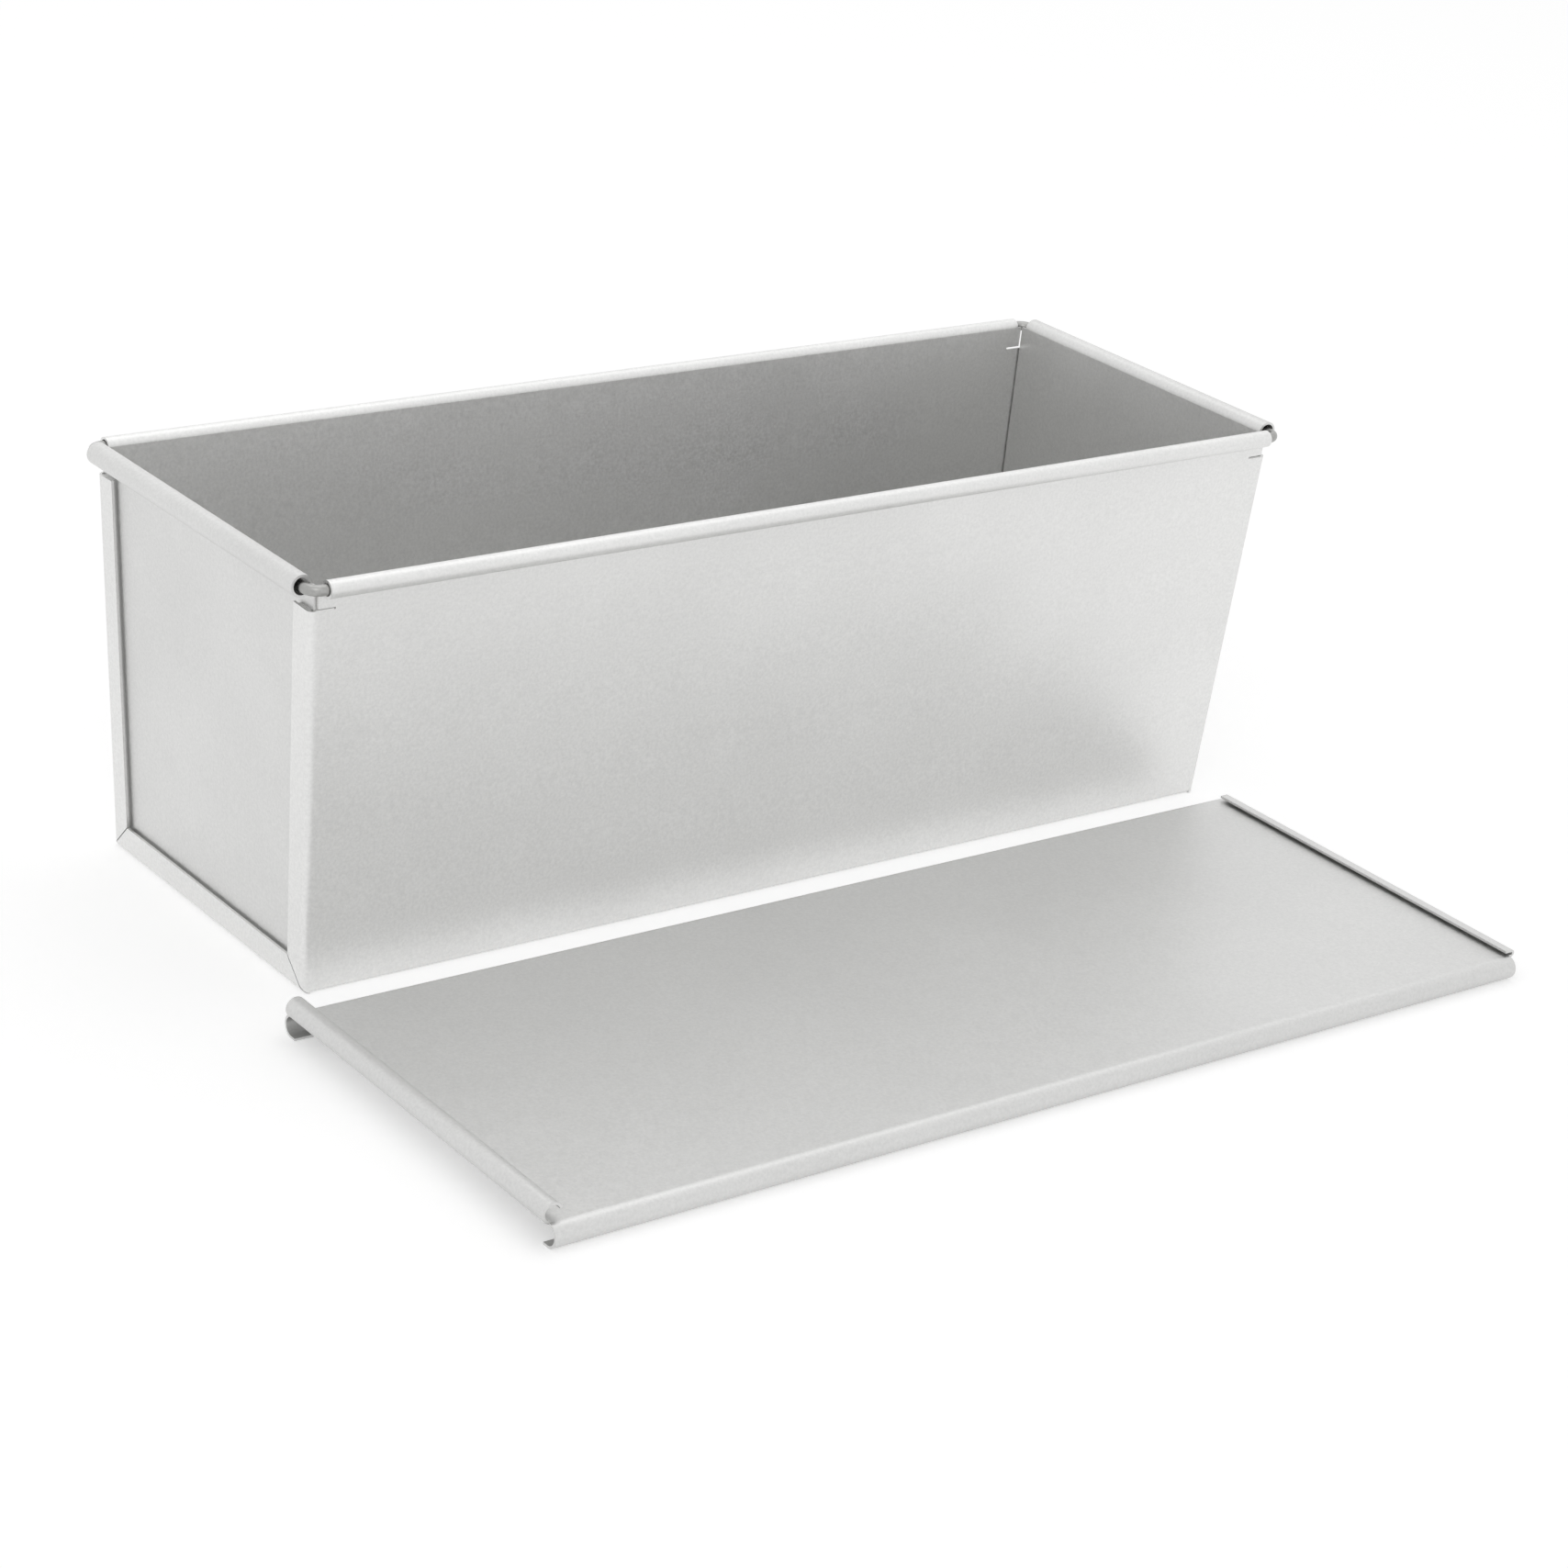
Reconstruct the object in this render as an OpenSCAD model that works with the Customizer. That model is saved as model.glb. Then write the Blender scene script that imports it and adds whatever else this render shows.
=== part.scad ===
// Pullman loaf pan with its flat sliding lid, folded from aluminised steel sheet.
// Millimetres. Origin at the middle of the base, +Z up, +X along the pan, the lid lies on the -Y side.

/* [Pan] */
// Outside length of the base, over the hems
base_l = 315; // [200:1:420]
// Outside width of the base
base_w = 105; // [80:1:160]
// Length of the rim wire loop, between the wire's centre lines
rim_l = 329; // [214:1:434]
// Width of the rim wire loop, between the wire's centre lines
rim_w = 117.5; // [92:0.5:172]
// Height of the rim wire's centre above the base
rim_h = 116; // [80:1:140]
// Thickness of the sheet
sheet_t = 0.7; // [0.5:0.05:0.9]
// Outside radius of the bend between the base and a long wall
base_bend_r = 1.5; // [1.2:0.1:3]

/* [Rim] */
// Diameter of the rim wire
wire_d = 3; // [2:0.1:4]
// Centre line radius of the wire's corner bends
wire_bend_r = 3.6; // [3:0.1:6]
// Play between the wire and the curl of a long wall
side_curl_play = 0.25; // [0.1:0.05:0.5]
// Play between the wire and the looser curl of an end panel
end_curl_play = 0.9; // [0.3:0.05:1.2]
// How far each curl turns round the wire, in degrees
curl_turn = 290; // [240:1:300]
// Distance from the wire's corner at which each curl stops
curl_stop = 4.5; // [4:0.1:10]

/* [Hems] */
// Width of the hem strips round each end panel
hem_w = 8.5; // [6:0.1:12]
// Play between the folded layers of a hem
hem_play = 0.1; // [0.05:0.01:0.2]
// Play between an end panel's edge and the inside of the fold
panel_play = 0.15; // [0.1:0.01:0.3]
// How far the panel's turned edge stops short of the hem strip's edge
flange_short = 1; // [0.5:0.1:2]
// Gap at the mitred lower corners of the hem
mitre_gap = 0.3; // [0.1:0.05:0.6]
// Distance from the rim curl down to the top of the hem strips
hem_drop = 4; // [2:0.1:8]
// Height of the relief slit above each hem strip
slit_h = 0.6; // [0.4:0.1:1]
// Length of the relief slit into the long wall
slit_l = 5; // [3:0.5:10]

/* [Lid] */
// Overall length of the lid
lid_l = 327; // [212:1:440]
// Play beside the rim when the lid is slid on, each side
lid_side_play = 0.8; // [0.4:0.1:1.5]
// Play above and below the rim curl in the lid's channel, together
lid_height_play = 0.4; // [0.2:0.1:1]
// Gap between the lid's lower lip and the pan's wall when slid on
lid_lip_play = 0.6; // [0.4:0.1:1]
// Outside diameter of the raised bead on the lid's stop end
lid_bead_d = 5.8; // [4:0.1:8]
// How far the stop bead turns, in degrees
lid_bead_turn = 250; // [200:1:280]
// Outside diameter of the flattened fold on the lid's entry end
lid_fold_d = 2.2; // [2:0.1:3]
// Width of the flattened hem on the lid's entry end
lid_hem_w = 3.4; // [2.5:0.1:6]
// Notch left at the lid's corners between a channel and an end fold
lid_notch = 2; // [1:0.1:4]
// Space between the pan's rim and the lid where it lies beside the pan
lid_gap = 7.7; // [5:0.1:60]
// How far the lid lies off the pan's middle, towards -X
lid_shift = 11; // [0:1:40]

/* [Hidden] */
$fn = 96;

steel = [0.80, 0.80, 0.79];
dark_steel = [0.72, 0.72, 0.71];
wire_steel = [0.66, 0.66, 0.65];
lid_steel = [0.77, 0.77, 0.76];

reach = 2 * rim_l;

// How far a flat stretch runs on into the curl that follows it
curl_lap = 0.2;

// Curl radii: the sheet wraps the wire with its own play
wire_r = wire_d / 2;
side_curl_in = wire_r + side_curl_play;
side_curl_out = side_curl_in + sheet_t;
end_curl_in = wire_r + end_curl_play;
end_curl_out = end_curl_in + sheet_t;

// The long wall is the common tangent of the base bend and the side curl
bend_y = base_w / 2 - base_bend_r;
side_run = rim_w / 2 - bend_y;
side_rise = rim_h - base_bend_r;
side_span = sqrt(pow(side_run, 2) + pow(side_rise, 2));
side_cross = base_bend_r + side_curl_in;
side_tilt = atan2(side_run, side_rise) - asin(side_cross / side_span);
side_len = sqrt(pow(side_span, 2) - pow(side_cross, 2));

// The hem fold holds the panel's two layers inside the body sheet
hem_r = 3 * sheet_t + 2 * hem_play;
fold_x = base_l / 2 - hem_r;
panel_out = hem_play + sheet_t;
end_run = rim_l / 2 - fold_x;
end_rise = rim_h - hem_r;
end_span = sqrt(pow(end_run, 2) + pow(end_rise, 2));
end_cross = panel_out + end_curl_in;
end_tilt = atan2(end_run, end_rise) - asin(end_cross / end_span);
end_len = sqrt(pow(end_span, 2) - pow(end_cross, 2));

// Where the long wall's outer face meets the end, in the end's own plane
edge_y = bend_y + base_bend_r * cos(side_tilt)
    + (hem_r - base_bend_r + base_bend_r * sin(side_tilt)) * tan(side_tilt);
edge_tilt = atan(cos(end_tilt) * tan(side_tilt));
corner_y = edge_y - hem_r * tan(edge_tilt);
mitre_angle = 135 - edge_tilt / 2;

// Height of the hem strips
hem_top = rim_h - side_curl_out - hem_drop;
hem_len = (hem_top - hem_r) / cos(end_tilt);

// Panel edges: as far into the fold as its inner radius lets each layer go
panel_reach = sqrt(pow(hem_r - sheet_t, 2) - pow(panel_out, 2)) - panel_play;
flange_reach = sqrt(pow(hem_r - sheet_t, 2) - pow(panel_out + sheet_t, 2)) - panel_play;

// Lid sizes come from the rim that it slides on
lid_w = rim_w + 2 * side_curl_out + 2 * lid_side_play + 2 * sheet_t;
lid_h = 2 * side_curl_out + lid_height_play + 2 * sheet_t;
lid_curl_r = lid_h / 2;
lid_lip_y = rim_w / 2 - side_curl_in + lid_lip_play;
lid_bead_r = lid_bead_d / 2;
lid_fold_r = lid_fold_d / 2;
lid_x = -lid_shift;
lid_y = -(rim_w / 2 + side_curl_out + lid_gap + lid_w / 2);

// A wedge of the plane from one angle to another, wide enough to cut a curl
module wedge(size, from, to) {
    steps = ceil((to - from) / 30);
    turn = (to - from) / steps;
    polygon(concat([[0, 0]], [for (i = [0:steps]) 2 * size * [cos(from + i * turn), sin(from + i * turn)]]));
}

// A bent strip of sheet, seen end on
module bend(outer, from, to) {
    intersection() {
        difference() {
            circle(r = outer);
            circle(r = outer - sheet_t);
        }
        wedge(outer, from, to);
    }
}

// Lays a profile drawn in Y and Z along X
module along_x(length) {
    rotate([90, 0, 90]) linear_extrude(height = length, center = true) children();
}

// Lays a profile drawn in X and Z along Y
module along_y(length) {
    rotate([90, 0, 0]) linear_extrude(height = length, center = true) children();
}

module both_x() {
    children();
    mirror([1, 0, 0]) children();
}

module both_y() {
    children();
    mirror([0, 1, 0]) children();
}

// The plane of the +X end panel, with X outwards and Z up the panel
module end_frame() {
    translate([fold_x, 0, hem_r]) rotate([0, end_tilt, 0]) children();
}

// The slanted edge of the +Y long wall, inside the end frame
module edge_frame() {
    translate([0, edge_y, 0]) rotate([-edge_tilt, 0, 0]) children();
}

// The half of space on one side of the mitre line at a lower corner
module mitre_half(side) {
    start = side > 0 ? mitre_gap / 2 : -reach - mitre_gap / 2;
    translate([0, corner_y, -hem_r]) rotate([mitre_angle, 0, 0])
        translate([-reach / 2, -reach / 2, start]) cube(reach);
}

// Half of the base and one long wall, up to the start of the rim curl
module wall_profile() {
    square([bend_y, sheet_t]);
    translate([bend_y, base_bend_r]) {
        bend(base_bend_r, -90, -side_tilt);
        rotate(-side_tilt) translate([base_bend_r - sheet_t, 0]) square([sheet_t, side_len + curl_lap]);
    }
}

// The curl that rolls outwards round the wire
module side_curl_profile() {
    translate([bend_y, base_bend_r]) rotate(-side_tilt)
        translate([side_cross, side_len]) bend(side_curl_out, 180 - curl_turn, 180);
}

// The sheet's outline from the side: upright at the hem fold, then along the end's slant
module side_outline() {
    rise = rim_h + side_curl_out - hem_r;
    far = fold_x + rise * tan(end_tilt);
    polygon([[-fold_x, -1], [fold_x, -1], [fold_x, hem_r], [far, hem_r + rise],
        [-far, hem_r + rise], [-fold_x, hem_r]]);
}

module side_hem_profile() {
    translate([0, -hem_r]) bend(hem_r, 0, 90);
    translate([hem_r - sheet_t, -hem_w]) square([sheet_t, hem_w - hem_r]);
}

module base_hem_profile() {
    bend(hem_r, end_tilt - 90, 0);
    translate([hem_r - sheet_t, 0]) square([sheet_t, hem_w - hem_r]);
}

// One end's hem: a strip on each side and one along the base, mitred where they meet
module end_hem() {
    end_frame() {
        both_y() intersection() {
            edge_frame() translate([0, 0, -2 * hem_r])
                linear_extrude(height = hem_len / cos(edge_tilt) + 2 * hem_r) side_hem_profile();
            mitre_half(-1);
        }
        intersection() {
            along_y(2 * corner_y) base_hem_profile();
            mitre_half(1);
            mirror([0, 1, 0]) mitre_half(1);
        }
    }
}

// Slits that let the rim be curled clear of the hem
module relief_slit() {
    edge_x = fold_x + hem_len * sin(end_tilt);
    translate([edge_x - slit_l, rim_w / 2 - hem_w, hem_top]) cube([2 * slit_l, 2 * hem_w, slit_h]);
}

// Base and long walls in one sheet, with the side curls and the hems of both ends
module body_sheet() {
    color(steel) {
        difference() {
            intersection() {
                along_x(2 * rim_l) union() {
                    wall_profile();
                    mirror([1, 0]) wall_profile();
                }
                along_y(2 * rim_w) side_outline();
            }
            both_x() both_y() relief_slit();
        }
        both_y() along_x(rim_l - 2 * curl_stop) side_curl_profile();
        intersection() {
            both_x() end_hem();
            translate([-reach / 2, -reach / 2, 0]) cube(reach);
        }
    }
}

// Outline of an end panel, drawn in from the wall's outer face by the inset
module panel_outline(inset, low, high) {
    low_y = edge_y + low * tan(edge_tilt) - inset;
    high_y = edge_y + high * tan(edge_tilt) - inset;
    polygon([[-low_y, low], [low_y, low], [high_y, high], [-high_y, high]]);
}

// Flat end panel: edges turned back once under the hem, top curled round the wire
module end_panel() {
    end_frame() {
        translate([hem_play, 0, 0]) rotate([90, 0, 90]) linear_extrude(height = sheet_t)
            panel_outline(hem_r - panel_reach, -panel_reach, end_len + curl_lap);
        translate([panel_out, 0, 0]) rotate([90, 0, 90]) linear_extrude(height = sheet_t)
            difference() {
                panel_outline(hem_r - flange_reach, -flange_reach, hem_len);
                panel_outline(hem_w - flange_short, hem_w - hem_r - flange_short, rim_h);
            }
        along_y(rim_w - 2 * curl_stop) translate([end_cross, end_len])
            bend(end_curl_out, 180 - curl_turn, 180);
    }
}

module right_end_panel() {
    color(dark_steel) end_panel();
}

module left_end_panel() {
    color(dark_steel) mirror([1, 0, 0]) end_panel();
}

// One loop of wire with four round corners
module rim_wire() {
    straight_x = rim_l / 2 - wire_bend_r;
    straight_y = rim_w / 2 - wire_bend_r;
    color(wire_steel) translate([0, 0, rim_h]) {
        both_y() translate([0, rim_w / 2, 0]) rotate([0, 90, 0])
            cylinder(d = wire_d, h = 2 * straight_x, center = true);
        both_x() translate([rim_l / 2, 0, 0]) rotate([90, 0, 0])
            cylinder(d = wire_d, h = 2 * straight_y, center = true);
        both_x() both_y() translate([straight_x, straight_y, 0])
            rotate_extrude(angle = 90) translate([wire_bend_r, 0]) circle(d = wire_d);
    }
}

// Half of the lid across its width: flat panel, then the channel that runs along the rim curl
module lid_channel_profile() {
    translate([lid_w / 2 - lid_curl_r, lid_curl_r]) bend(lid_curl_r, -90, 90);
    translate([lid_lip_y, 0]) square([lid_w / 2 - lid_curl_r - lid_lip_y, sheet_t]);
    translate([0, lid_h - sheet_t]) square([lid_w / 2 - lid_curl_r, sheet_t]);
}

// Raised bead at the stop end, turned up and back over the panel
module lid_bead_profile() {
    translate([-lid_l / 2 + lid_bead_r, lid_h - sheet_t + lid_bead_r])
        bend(lid_bead_r, 270 - lid_bead_turn, 270);
}

// Flattened hem at the entry end
module lid_hem_profile() {
    translate([lid_l / 2 - lid_fold_r, lid_h - sheet_t + lid_fold_r]) {
        bend(lid_fold_r, -90, 90);
        translate([-(lid_hem_w - lid_fold_r), lid_fold_r - sheet_t])
            square([lid_hem_w - lid_fold_r, sheet_t]);
    }
}

// The lid, one sheet, lying top up beside the pan
module lid() {
    across = lid_w - 2 * lid_curl_r;
    panel_from = -lid_l / 2 + lid_bead_r;
    panel_to = lid_l / 2 - lid_fold_r;
    color(lid_steel) translate([lid_x, lid_y, 0]) {
        both_y() along_x(lid_l - 2 * lid_notch) lid_channel_profile();
        translate([panel_from, -across / 2, lid_h - sheet_t])
            cube([panel_to - panel_from, across, sheet_t]);
        along_y(across) lid_bead_profile();
        along_y(across) lid_hem_profile();
    }
}

body_sheet();
left_end_panel();
right_end_panel();
rim_wire();
lid();
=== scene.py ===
"""A folded-steel pullman loaf pan with its sliding lid lying beside it, lit on a pale floor."""

import logging
import math
from dataclasses import dataclass
from enum import Enum

import bmesh
import bpy
from mathutils import Matrix, Vector

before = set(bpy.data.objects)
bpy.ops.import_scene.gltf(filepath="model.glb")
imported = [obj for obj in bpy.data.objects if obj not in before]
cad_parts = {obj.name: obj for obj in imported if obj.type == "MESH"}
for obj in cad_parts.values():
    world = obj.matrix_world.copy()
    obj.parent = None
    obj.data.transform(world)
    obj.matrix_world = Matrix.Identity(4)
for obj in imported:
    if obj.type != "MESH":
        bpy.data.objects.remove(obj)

LOG = logging.getLogger("pullman_pan")
MM = 0.001
MICRON = 0.000001
PHOTO_PX = 1708
# Sockets of a colour Mix node, which share their names with those of its other data types
MIX_SHARE, MIX_FIRST, MIX_SECOND, MIX_RESULT = 0, 6, 7, 2


class StreakWay(Enum):
    """The axis along which the rolling streaks of a sheet run."""

    LENGTHWISE = 0
    UPRIGHT = 2


def linear(hex_colour: str) -> tuple[float, float, float, float]:
    """Turn an sRGB hex colour into linear light.

    Args:
        hex_colour: six hex digits, with or without a leading hash.

    Returns:
        Red, green, blue and an alpha of 1.
    """
    digits = hex_colour.lstrip("#")
    parts = [int(digits[i : i + 2], 16) / 255 for i in (0, 2, 4)]
    light = [c / 12.92 if c <= 0.04045 else ((c + 0.055) / 1.055) ** 2.4 for c in parts]
    return (light[0], light[1], light[2], 1.0)


def add_node(tree: bpy.types.NodeTree, kind: str, settings: dict | None = None,
             sockets: dict | None = None, links: dict | None = None) -> bpy.types.Node:
    """Add one node with its settings, socket values and incoming links.

    Args:
        tree: the node tree.
        kind: the node's type name.
        settings: attribute values of the node.
        sockets: input socket name or index, and its value.
        links: input socket name or index, and the output socket that feeds it.

    Returns:
        The new node.
    """
    node = tree.nodes.new(kind)
    for name, value in (settings or {}).items():
        setattr(node, name, value)
    for name, value in (sockets or {}).items():
        node.inputs[name].default_value = value
    for name, output in (links or {}).items():
        tree.links.new(output, node.inputs[name])
    return node


def set_finish(node: str, material: bpy.types.Material) -> None:
    """Assign a material to a CAD node.

    Args:
        node: the CAD node's name.
        material: the finish.
    """
    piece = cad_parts[node]
    piece.data.materials.clear()
    piece.data.materials.append(material)
    LOG.info("dressed %s in %s", node, material.name)


@dataclass(frozen=True)
class SheetFinish:
    """Aluminised steel sheet, hot dipped and skin-passed: matte grey with a fine speckle.

    The speckle is the coating's grain, drawn coarser than it is so that it shows. The mottle is
    the coating's uneven tone, and the streaks are those of the rolling. Each pattern's size is in
    millimetres, and a band is the stretch of a noise's values that is spread over its effect.
    """

    name: str
    light: str
    dark: str
    streak: str
    roughness: float
    streak_way: StreakWay = StreakWay.LENGTHWISE
    grain_mm: float = 0.9
    grain_detail: float = 2.0
    grain_harshness: float = 0.7
    grain_band: tuple[float, float] = (0.3, 0.7)
    grain_brightness: tuple[float, float] = (0.93, 1.05)
    grain_gloss_change: float = 0.06
    bump_um: float = 14.0
    bump_strength: float = 0.5
    mottle_mm: float = 45.0
    mottle_detail: float = 4.0
    mottle_harshness: float = 0.6
    mottle_band: tuple[float, float] = (0.3, 0.7)
    streak_mm: float = 6.0
    streak_length: float = 14.0
    streak_detail: float = 3.0
    streak_harshness: float = 0.6
    streak_band: tuple[float, float] = (0.35, 0.75)
    streak_strength: float = 0.35

    def build(self) -> bpy.types.Material:
        """Make the material.

        Returns:
            The finish as a Blender material.
        """
        material = bpy.data.materials.new(self.name)
        material.use_nodes = True
        tree = material.node_tree
        shader = tree.nodes["Principled BSDF"]
        place = add_node(tree, "ShaderNodeTexCoord").outputs["Object"]
        grain = add_node(tree, "ShaderNodeTexNoise", sockets={
            "Scale": 1 / (self.grain_mm * MM), "Detail": self.grain_detail,
            "Roughness": self.grain_harshness}, links={"Vector": place}).outputs["Fac"]
        colour = self.coat_colour(tree, place, grain)
        tree.links.new(colour, shader.inputs["Base Color"])
        grain_low, grain_high = self.grain_band
        rough = add_node(tree, "ShaderNodeMapRange", sockets={
            "From Min": grain_low, "From Max": grain_high,
            "To Min": self.roughness - self.grain_gloss_change,
            "To Max": self.roughness + self.grain_gloss_change}, links={"Value": grain})
        tree.links.new(rough.outputs[0], shader.inputs["Roughness"])
        bump = add_node(tree, "ShaderNodeBump", sockets={
            "Strength": self.bump_strength, "Distance": self.bump_um * MICRON}, links={"Height": grain})
        tree.links.new(bump.outputs[0], shader.inputs["Normal"])
        shader.inputs["Metallic"].default_value = 1.0
        return material

    def coat_colour(self, tree: bpy.types.NodeTree, place: bpy.types.NodeSocket,
                    grain: bpy.types.NodeSocket) -> bpy.types.NodeSocket:
        """Work out the coating's colour: a mottled tone with streaks over it, speckled by the grain.

        Args:
            tree: the material's node tree.
            place: the place on the object.
            grain: the grain's noise.

        Returns:
            The output socket that holds the colour.
        """
        mottle = add_node(tree, "ShaderNodeTexNoise", sockets={
            "Scale": 1 / (self.mottle_mm * MM), "Detail": self.mottle_detail,
            "Roughness": self.mottle_harshness}, links={"Vector": place})
        base = add_node(tree, "ShaderNodeValToRGB", links={"Fac": mottle.outputs["Fac"]})
        ends = zip(base.color_ramp.elements, self.mottle_band, (self.dark, self.light))
        for element, position, tone in ends:
            element.position = position
            element.color = linear(tone)
        stretch = [1.0, 1.0, 1.0]
        stretch[self.streak_way.value] = 1 / self.streak_length
        drawn_out = add_node(tree, "ShaderNodeMapping", sockets={"Scale": stretch}, links={"Vector": place})
        streaks = add_node(tree, "ShaderNodeTexNoise", sockets={
            "Scale": 1 / (self.streak_mm * MM), "Detail": self.streak_detail,
            "Roughness": self.streak_harshness}, links={"Vector": drawn_out.outputs[0]})
        streak_low, streak_high = self.streak_band
        share = add_node(tree, "ShaderNodeMapRange", sockets={
            "From Min": streak_low, "From Max": streak_high, "To Min": 0.0,
            "To Max": self.streak_strength}, links={"Value": streaks.outputs["Fac"]})
        streaked = add_node(tree, "ShaderNodeMix", settings={"data_type": "RGBA"},
                            sockets={MIX_SECOND: linear(self.streak)},
                            links={MIX_SHARE: share.outputs[0], MIX_FIRST: base.outputs["Color"]})
        grain_low, grain_high = self.grain_band
        darkest, brightest = self.grain_brightness
        speckle = add_node(tree, "ShaderNodeMapRange", sockets={
            "From Min": grain_low, "From Max": grain_high, "To Min": darkest, "To Max": brightest},
            links={"Value": grain})
        tint = add_node(tree, "ShaderNodeVectorMath", settings={"operation": "SCALE"},
                        links={0: streaked.outputs[MIX_RESULT], "Scale": speckle.outputs[0]})
        return tint.outputs[0]


@dataclass(frozen=True)
class WireFinish:
    """Galvanised steel wire, drawn: darker and glossier than the sheet, with a fine uneven tone."""

    name: str = "galvanised_drawn_wire"
    light: str = "#B4B4B2"
    dark: str = "#9A9A98"
    roughness: float = 0.33
    tone_mm: float = 0.8
    tone_detail: float = 3.0

    def build(self) -> bpy.types.Material:
        """Make the material.

        Returns:
            The finish as a Blender material.
        """
        material = bpy.data.materials.new(self.name)
        material.use_nodes = True
        tree = material.node_tree
        shader = tree.nodes["Principled BSDF"]
        place = add_node(tree, "ShaderNodeTexCoord").outputs["Object"]
        tone = add_node(tree, "ShaderNodeTexNoise", sockets={
            "Scale": 1 / (self.tone_mm * MM), "Detail": self.tone_detail}, links={"Vector": place})
        ramp = add_node(tree, "ShaderNodeValToRGB", links={"Fac": tone.outputs["Fac"]})
        ramp.color_ramp.elements[0].color = linear(self.dark)
        ramp.color_ramp.elements[1].color = linear(self.light)
        tree.links.new(ramp.outputs["Color"], shader.inputs["Base Color"])
        shader.inputs["Metallic"].default_value = 1.0
        shader.inputs["Roughness"].default_value = self.roughness
        return material


@dataclass(frozen=True)
class Pan:
    """The pan: base and long walls in one sheet, two end panels and the rim wire."""

    body_finish: SheetFinish = SheetFinish(
        "aluminised_steel_body", light="#E9E9E8", dark="#E4E4E3", streak="#E6E6E5", roughness=0.46)
    panel_finish: SheetFinish = SheetFinish(
        "aluminised_steel_end_panel", light="#DEDEDD", dark="#D8D8D7", streak="#DBDBDA", roughness=0.44,
        streak_way=StreakWay.UPRIGHT)
    wire_finish: WireFinish = WireFinish()

    def dress(self) -> None:
        """Give every CAD piece of the pan its finish."""
        panel = self.panel_finish.build()
        set_finish("body_sheet", self.body_finish.build())
        set_finish("left_end_panel", panel)
        set_finish("right_end_panel", panel)
        set_finish("rim_wire", self.wire_finish.build())


@dataclass(frozen=True)
class Lid:
    """The lid, one folded sheet that lies top up beside the pan."""

    finish: SheetFinish = SheetFinish(
        "aluminised_steel_lid", light="#D8D8D7", dark="#D4D4D3", streak="#D6D6D5", roughness=0.42,
        mottle_mm=60.0)

    def dress(self) -> None:
        """Give the lid its finish."""
        set_finish("lid", self.finish.build())


@dataclass(frozen=True)
class SoftBox:
    """One square studio lamp that faces the object, with its place and side in metres."""

    name: str
    at: tuple[float, float, float]
    side: float
    watts: float

    def build(self) -> None:
        """Hang the lamp and turn it to the object."""
        data = bpy.data.lights.new(self.name, "AREA")
        data.size = self.side
        data.energy = self.watts
        lamp = bpy.data.objects.new(self.name, data)
        lamp.location = self.at
        lamp.rotation_mode = "QUATERNION"
        lamp.rotation_quaternion = (-Vector(self.at)).to_track_quat("-Z", "Y")
        bpy.context.scene.collection.objects.link(lamp)


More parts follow.
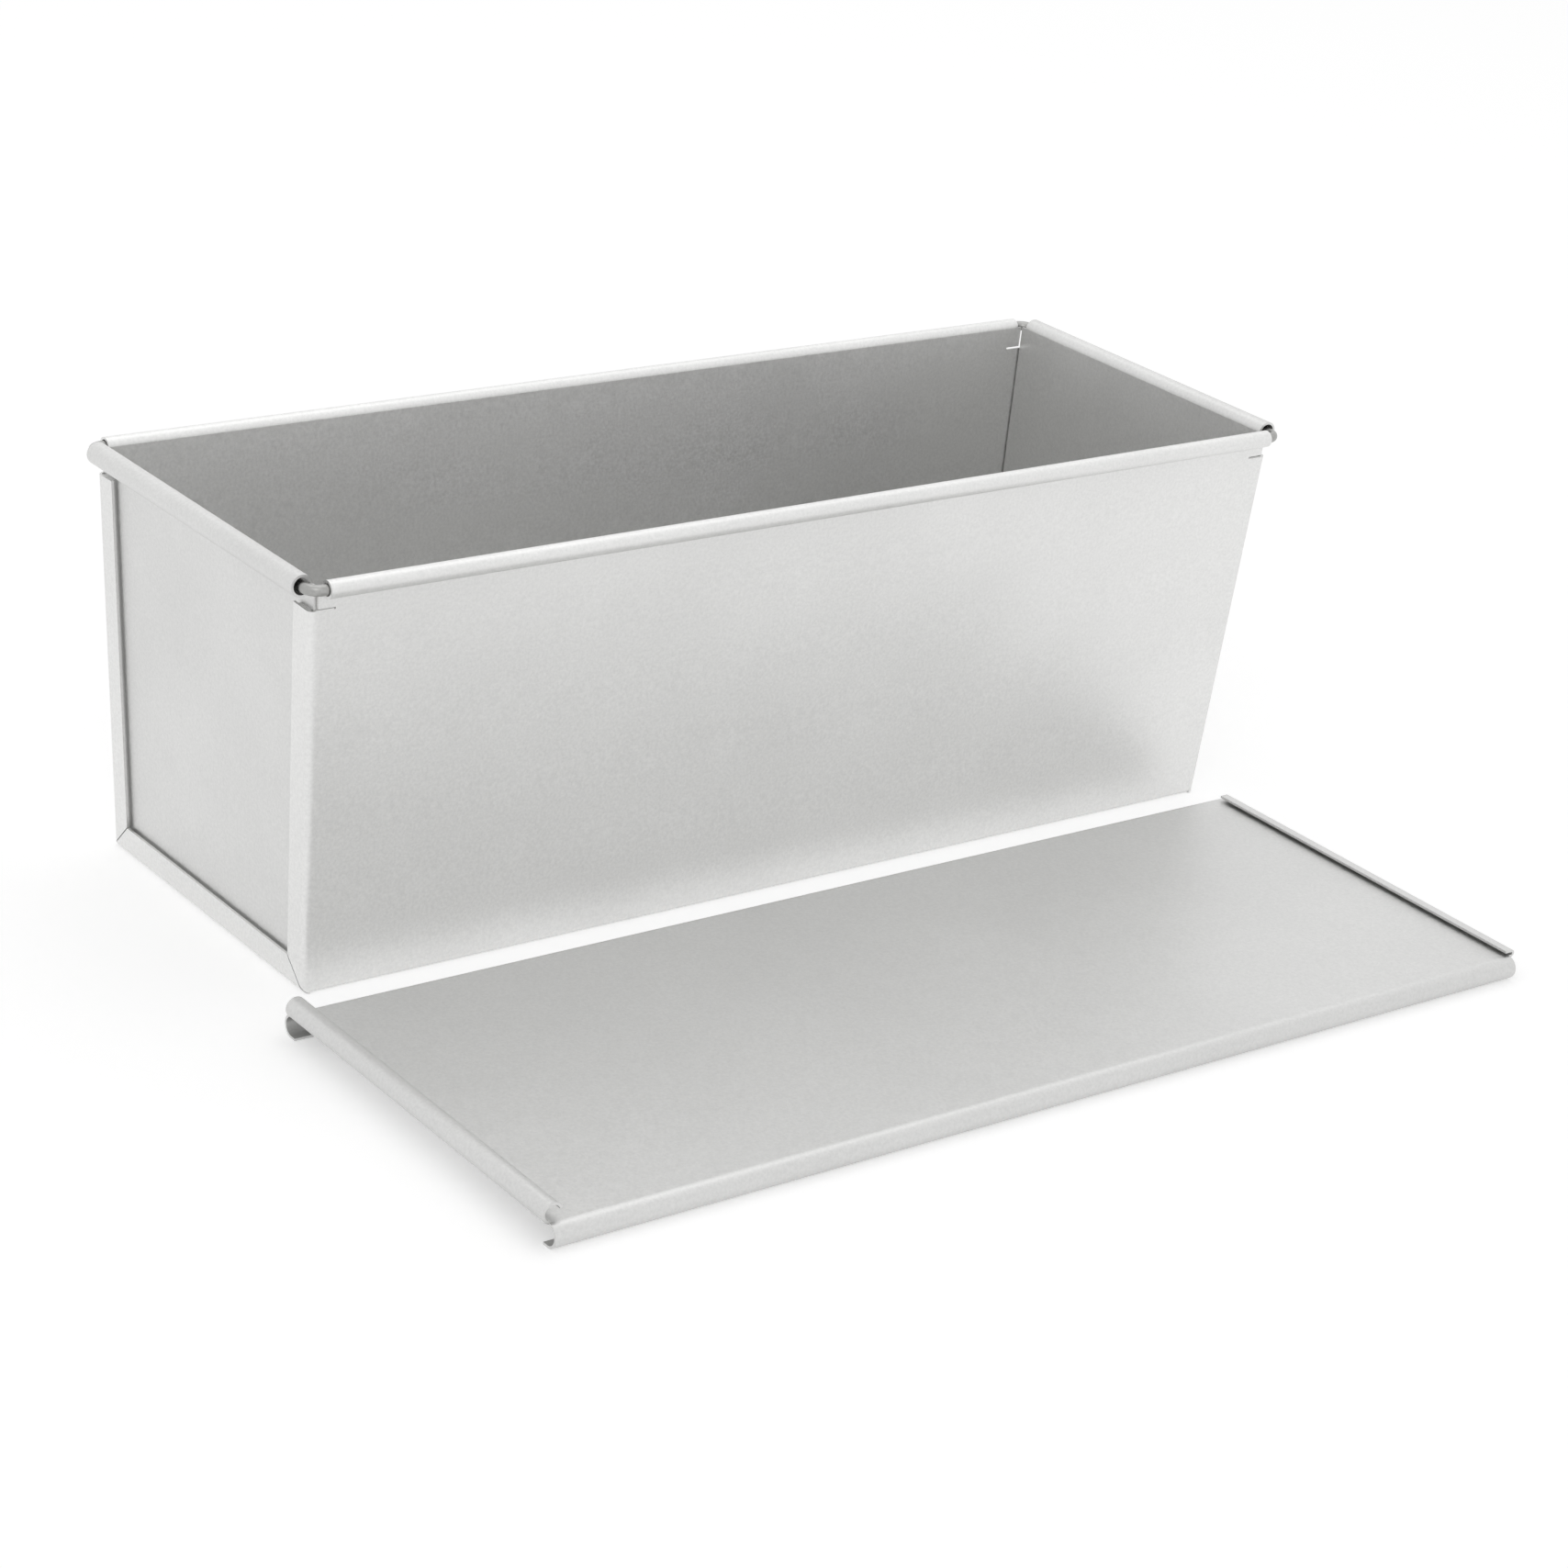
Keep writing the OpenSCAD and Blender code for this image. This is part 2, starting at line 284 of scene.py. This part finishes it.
@dataclass(frozen=True)
class Studio:
    """Pale floor, soft white surroundings, two large lamps and the photograph's camera.

    Lengths are in metres. A seen level is what the camera and the glossy surfaces see, where 1 is
    white, and it adds no light to matte ones.
    """

    camera_at: tuple[float, float, float] = (-0.6407, -0.8431, 0.4648)
    yaw: float = math.radians(38.85)
    pitch: float = math.radians(23.08)
    roll: float = math.radians(5.66)
    focal_px: float = 4284.0
    sensor_mm: float = 36.0
    view_limit: float = 50.0
    floor_side: float = 8.0
    floor_colour: str = "#F2F2F2"
    floor_seen_level: float = 0.35
    sky_colour: str = "#FFFFFF"
    sky_level: float = 0.62
    sky_seen_level: float = 1.0
    lamps: tuple[SoftBox, ...] = (
        SoftBox("key_soft_box", at=(-1.2, -1.6, 1.9), side=1.6, watts=6.0),
        SoftBox("top_soft_box", at=(0.4, 0.5, 2.2), side=2.0, watts=6.0),
    )

    def camera(self) -> None:
        """Place the camera at the photograph's viewpoint."""
        forward = Vector((math.sin(self.yaw) * math.cos(self.pitch),
                          math.cos(self.yaw) * math.cos(self.pitch), -math.sin(self.pitch)))
        level = Vector((math.cos(self.yaw), -math.sin(self.yaw), 0))
        raised = level.cross(forward)
        right = level * math.cos(self.roll) + raised * math.sin(self.roll)
        up = raised * math.cos(self.roll) - level * math.sin(self.roll)
        data = bpy.data.cameras.new("camera")
        data.sensor_width = self.sensor_mm
        data.lens = self.sensor_mm * self.focal_px / PHOTO_PX
        data.clip_end = self.view_limit
        camera = bpy.data.objects.new("camera", data)
        turn = Matrix((right, up, -forward)).transposed()
        camera.matrix_world = Matrix.Translation(self.camera_at) @ turn.to_4x4()
        bpy.context.scene.collection.objects.link(camera)
        bpy.context.scene.camera = camera

    @staticmethod
    def seen_ray(tree: bpy.types.NodeTree) -> bpy.types.NodeSocket:
        """Give 1 for rays from the camera or off and through glossy surfaces, and 0 for the rest.

        Args:
            tree: the node tree that needs it.

        Returns:
            The output socket.
        """
        ray = add_node(tree, "ShaderNodeLightPath")
        shiny = add_node(tree, "ShaderNodeMath", settings={"operation": "MAXIMUM"},
                         links={0: ray.outputs["Is Glossy Ray"], 1: ray.outputs["Is Transmission Ray"]})
        seen = add_node(tree, "ShaderNodeMath", settings={"operation": "MAXIMUM"},
                        links={0: ray.outputs["Is Camera Ray"], 1: shiny.outputs[0]})
        return seen.outputs[0]

    def floor(self) -> None:
        """Lay the pale floor, which keeps the object's shadow."""
        mesh = bpy.data.meshes.new("floor")
        shape = bmesh.new()
        bmesh.ops.create_grid(shape, x_segments=1, y_segments=1, size=self.floor_side / 2)
        shape.to_mesh(mesh)
        shape.free()
        floor = bpy.data.objects.new("floor", mesh)
        bpy.context.scene.collection.objects.link(floor)
        material = bpy.data.materials.new("pale_matte_paper")
        material.use_nodes = True
        tree = material.node_tree
        tree.nodes.clear()
        paper = add_node(tree, "ShaderNodeBsdfDiffuse", sockets={"Color": linear(self.floor_colour)})
        seen = add_node(tree, "ShaderNodeMath", settings={"operation": "MULTIPLY"},
                        sockets={1: self.floor_seen_level}, links={0: self.seen_ray(tree)})
        glow = add_node(tree, "ShaderNodeEmission", links={"Strength": seen.outputs[0]})
        both = add_node(tree, "ShaderNodeAddShader", links={0: paper.outputs[0], 1: glow.outputs[0]})
        add_node(tree, "ShaderNodeOutputMaterial", links={"Surface": both.outputs[0]})
        mesh.materials.append(material)

    def world(self) -> None:
        """Surround the object with soft light that the camera sees as white."""
        world = bpy.data.worlds.new("white_surroundings")
        world.use_nodes = True
        bpy.context.scene.world = world
        tree = world.node_tree
        tree.nodes.clear()
        strength = add_node(tree, "ShaderNodeMapRange", sockets={
            "To Min": self.sky_level, "To Max": self.sky_seen_level}, links={"Value": self.seen_ray(tree)})
        light = add_node(tree, "ShaderNodeBackground", sockets={"Color": linear(self.sky_colour)},
                         links={"Strength": strength.outputs[0]})
        add_node(tree, "ShaderNodeOutputWorld", links={"Surface": light.outputs[0]})

    def build(self) -> None:
        """Build the whole studio."""
        self.camera()
        self.floor()
        self.world()
        for lamp in self.lamps:
            lamp.build()
        bpy.context.scene.view_settings.view_transform = "Standard"


def main() -> None:
    """Dress the pan and the lid, and build the studio."""
    logging.basicConfig(level=logging.INFO, format="%(message)s")
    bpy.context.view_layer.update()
    Studio().build()
    Pan().dress()
    Lid().dress()


if __name__ == "__main__":
    main()
